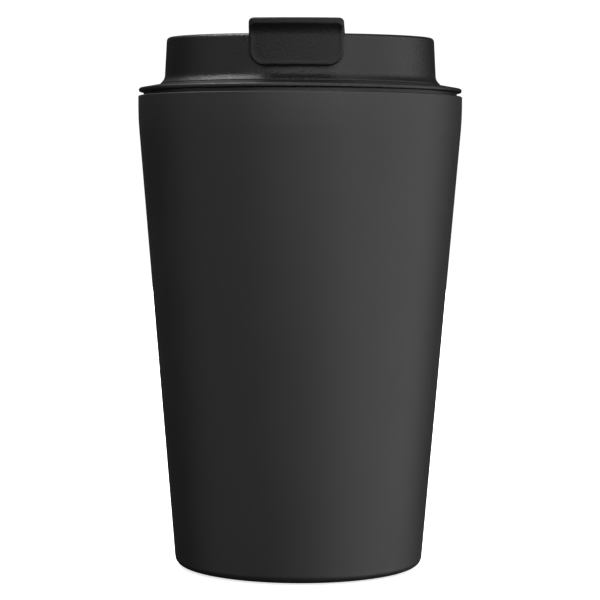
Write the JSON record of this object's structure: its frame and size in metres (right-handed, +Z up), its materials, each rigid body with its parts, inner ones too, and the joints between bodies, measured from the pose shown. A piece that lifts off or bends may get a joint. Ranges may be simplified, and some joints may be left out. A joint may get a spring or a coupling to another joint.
{
  "type": "insulated travel mug",
  "caption": "Tapered vacuum-insulated steel travel mug with a press-in lid, a flip-up drinking flap with finger tab, and a rubber foot pad.",
  "frame": {"origin": "centre of the foot, on the surface that the mug stands on", "axes": "+Z up along the axis of the mug; the drinking side and its finger tab face -Y; +X to the right, seen from the drinking side"},
  "size_m": [0.0863, 0.0862, 0.1441],
  "materials": {
    "charcoal_powder_coat": "matte fine-texture powder coat on stainless steel",
    "stainless_steel": "brushed stainless steel",
    "solder": "dull tin solder",
    "getter_alloy": "sintered dark grey pellet",
    "foil": "wrinkled bright foil",
    "adhesive_tape": "clear acrylic tape",
    "foot_rubber": "matte moulded silicone rubber",
    "seal_silicone": "smooth satin silicone",
    "stopper_silicone": "smooth matte silicone",
    "black_polypropylene": "satin moulded plastic with a fine grain"
  },
  "bodies": {
    "cup": {"outer_shell": "charcoal_powder_coat", "inner_liner": "stainless_steel", "outer_base": "stainless_steel", "vacuum_seal": "solder", "getter": "getter_alloy", "getter_strap": "stainless_steel", "heat_shield": "foil", "pad_adhesive": "adhesive_tape", "base_pad": "foot_rubber"},
    "seal": {"lid_seal": "seal_silicone"},
    "lid": {"lid_base": "black_polypropylene", "lid_cap": "black_polypropylene", "drink_passage_seal": "seal_silicone", "vent_passage_seal": "seal_silicone", "hinge_pin": "stainless_steel"},
    "flap": {"flap": "black_polypropylene", "drink_stopper": "stopper_silicone", "vent_stopper": "stopper_silicone"}
  },
  "joints": [
    {"name": "lid_lift", "type": "slide", "parent": "cup", "child": "seal", "axis": [0, 0, 1], "range_m": [0, 0.06]},
    {"name": "lid_turn", "type": "hinge", "parent": "seal", "child": "lid", "pos_m": [0, 0, 0.1229], "axis": [0, 0, 1], "continuous": true},
    {"name": "flap_hinge", "type": "hinge", "parent": "lid", "child": "flap", "pos_m": [0, 0.003, 0.1399], "axis": [-1, 0, 0], "range_deg": [0, 165]}
  ]
}
